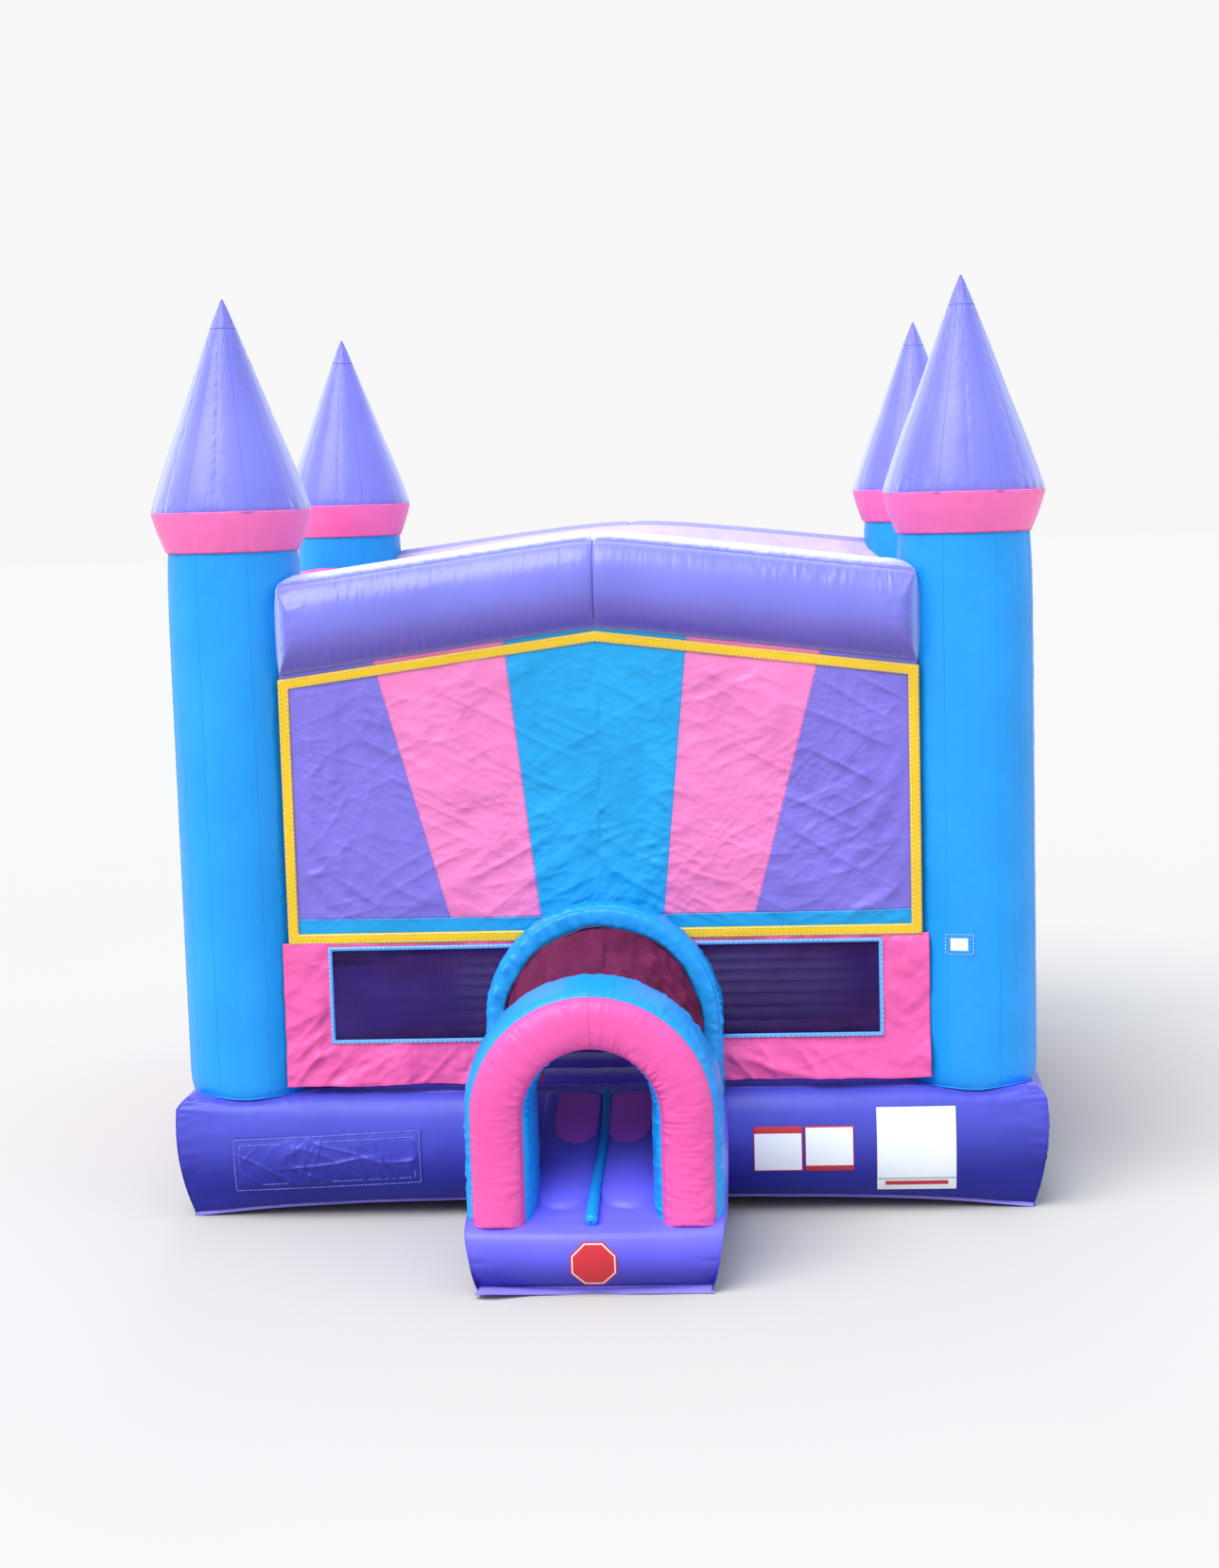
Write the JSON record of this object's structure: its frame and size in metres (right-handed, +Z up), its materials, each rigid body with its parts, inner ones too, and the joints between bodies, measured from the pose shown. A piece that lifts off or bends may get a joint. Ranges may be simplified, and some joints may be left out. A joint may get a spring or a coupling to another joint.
{
  "type": "inflatable bounce house",
  "caption": "Square inflatable castle with corner turrets, netted walls, gabled front banner, crawl-in ramp tunnel and a rear blower on a sleeve.",
  "frame": {"origin": "on the ground under the middle of the square base", "axes": "+X to the right as seen from the entrance, +Y from the entrance to the rear, +Z up"},
  "size_m": [4.024, 6.1669, 4.153],
  "materials": {
    "vinyl_purple": "coated PVC fabric, semi-gloss",
    "vinyl_blue": "coated PVC fabric, semi-gloss",
    "vinyl_pink": "coated PVC fabric, semi-gloss",
    "trim_yellow": "coated PVC tape",
    "netting": "knotless polyester net",
    "label_white": "printed vinyl patch, left blank",
    "webbing": "woven strap",
    "zipper_tape": "woven tape with moulded teeth",
    "steel": "zinc plated",
    "blower_plastic": "rotationally moulded polyethylene",
    "impeller_metal": "pressed sheet",
    "motor_paint": "satin paint",
    "switch_red": "moulded",
    "foot_rubber": "matte",
    "black_plastic": "fine moulded grain"
  },
  "bodies": {
    "castle": {"base_chamber": "vinyl_purple", "floor_baffles": "vinyl_purple", "column_front_left": "vinyl_blue", "column_front_right": "vinyl_blue", "column_rear_left": "vinyl_blue", "column_rear_right": "vinyl_blue", "turret_collars": "vinyl_pink", "spire_front_left": "vinyl_purple", "spire_front_right": "vinyl_purple", "spire_rear_left": "vinyl_purple", "spire_rear_right": "vinyl_purple", "beam_front": "vinyl_purple", "beam_rear": "vinyl_purple", "beam_left": "vinyl_pink", "beam_right": "vinyl_pink", "roof_cover": "vinyl_pink", "banner_purple_panels": "vinyl_purple", "banner_pink_panels": "vinyl_pink", "banner_blue_panels": "vinyl_blue", "banner_frame": "trim_yellow", "wall_front_lower": "vinyl_pink", "wall_left": "vinyl_pink", "wall_right": "vinyl_pink", "wall_rear": "vinyl_pink", "window_nets": "netting", "window_bindings": "vinyl_blue", "ramp_chamber": "vinyl_purple", "ramp_divider": "vinyl_blue", "entrance_arch_face": "vinyl_pink", "entrance_arch_band": "vinyl_blue", "doorway_arch_face": "vinyl_blue", "doorway_arch_band": "vinyl_blue", "tunnel_net": "netting", "label_patches": "label_white", "sign_pocket": "vinyl_purple", "tag_pocket": "label_white", "inflation_sleeve": "vinyl_purple", "sleeve_strap": "webbing", "vent_zipper": "zipper_tape", "anchor_tabs": "webbing"},
    "blower": {"blower_shell_left": "blower_plastic", "blower_shell_right": "blower_plastic", "blower_nozzle": "blower_plastic", "blower_intake_grille": "black_plastic", "blower_motor": "motor_paint", "blower_motor_cover": "black_plastic", "blower_handle": "black_plastic", "blower_feet": "foot_rubber", "blower_switch_box": "black_plastic", "blower_cord_gland": "black_plastic", "blower_screws": "steel"},
    "impeller": {"blower_impeller": "impeller_metal", "blower_shaft": "steel"},
    "rocker": {"blower_rocker": "switch_red"},
    "vent_slider": {"vent_slider": "steel"},
    "vent_flap": {"vent_flap": "vinyl_purple"},
    "d_ring_front_left": {"d_ring_front_left": "steel"},
    "d_ring_rear_left": {"d_ring_rear_left": "steel"},
    "d_ring_front_right": {"d_ring_front_right": "steel"},
    "d_ring_rear_right": {"d_ring_rear_right": "steel"}
  },
  "joints": [
    {"name": "blower_pull_off", "type": "slide", "parent": "castle", "child": "blower", "axis": [0, 1, 0], "range_m": [0, 0.3]},
    {"name": "impeller_spin", "type": "hinge", "parent": "blower", "child": "impeller", "pos_m": [1.1, 2.885, 0.215], "axis": [1, 0, 0], "continuous": true},
    {"name": "switch_rocker", "type": "hinge", "parent": "blower", "child": "rocker", "pos_m": [1.06, 2.704, 0.3719], "axis": [1, 0, 0], "range_deg": [0, 20]},
    {"name": "vent_zip", "type": "slide", "parent": "castle", "child": "vent_slider", "axis": [-1, 0, 0], "range_m": [0, 0.41]},
    {"name": "vent_flap_lift", "type": "hinge", "parent": "castle", "child": "vent_flap", "pos_m": [-1.25, 1.998, 0.385], "axis": [1, 0, 0], "range_deg": [0, 115]},
    {"name": "ring_front_left_swing", "type": "hinge", "parent": "castle", "child": "d_ring_front_left", "pos_m": [-1.94795, -1.5, 0.078], "axis": [0, 1, 0], "range_deg": [-10, 150]},
    {"name": "ring_rear_left_swing", "type": "hinge", "parent": "castle", "child": "d_ring_rear_left", "pos_m": [-1.94795, 1.5, 0.078], "axis": [0, 1, 0], "range_deg": [-10, 150]},
    {"name": "ring_front_right_swing", "type": "hinge", "parent": "castle", "child": "d_ring_front_right", "pos_m": [1.94795, -1.5, 0.078], "axis": [0, -1, 0], "range_deg": [-10, 150]},
    {"name": "ring_rear_right_swing", "type": "hinge", "parent": "castle", "child": "d_ring_rear_right", "pos_m": [1.94795, 1.5, 0.078], "axis": [0, -1, 0], "range_deg": [-10, 150]}
  ]
}
